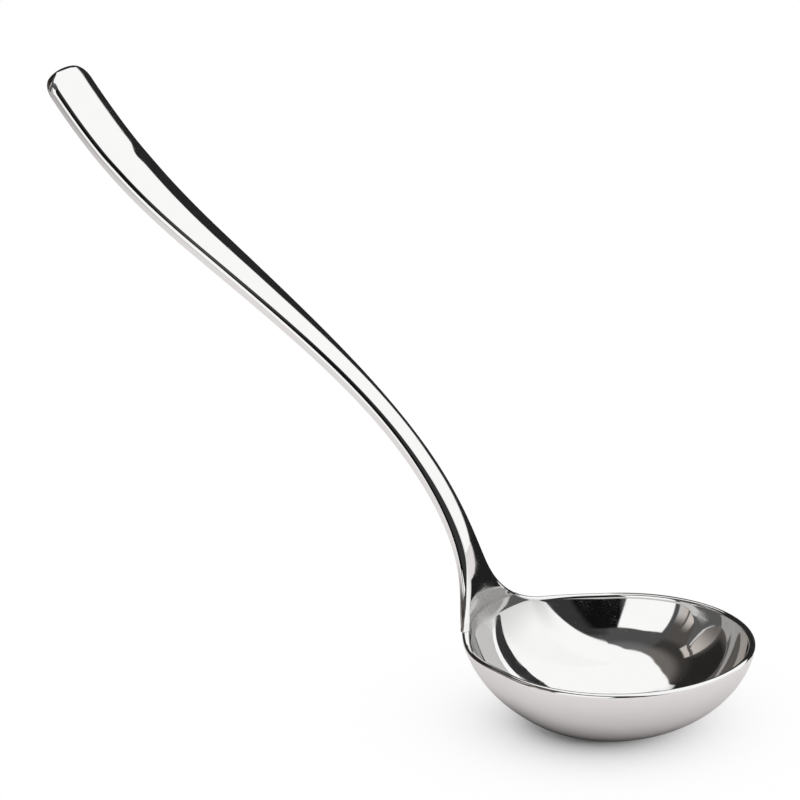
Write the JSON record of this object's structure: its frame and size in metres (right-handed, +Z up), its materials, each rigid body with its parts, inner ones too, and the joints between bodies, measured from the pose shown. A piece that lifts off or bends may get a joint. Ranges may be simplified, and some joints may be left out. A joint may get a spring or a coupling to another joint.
{
  "type": "sauce ladle",
  "caption": "Polished steel sauce ladle: a round, deep bowl welded to a slim S-curved handle that widens to a rounded grip. Scoops and pours sauce.",
  "frame": {"origin": "centre of the small flat under the bowl", "axes": "+Z up out of the bowl's mouth, +X from the handle towards the bowl's lip, +Y across"},
  "size_m": [0.1645, 0.0598, 0.1368],
  "materials": {
    "bowl_steel": "mirror-polished stainless steel",
    "handle_steel": "mirror-polished stainless steel",
    "weld_steel": "ground and polished stainless steel"
  },
  "bodies": {
    "root": {"bowl": "bowl_steel", "handle": "handle_steel", "neck_weld": "weld_steel"}
  },
  "joints": []
}
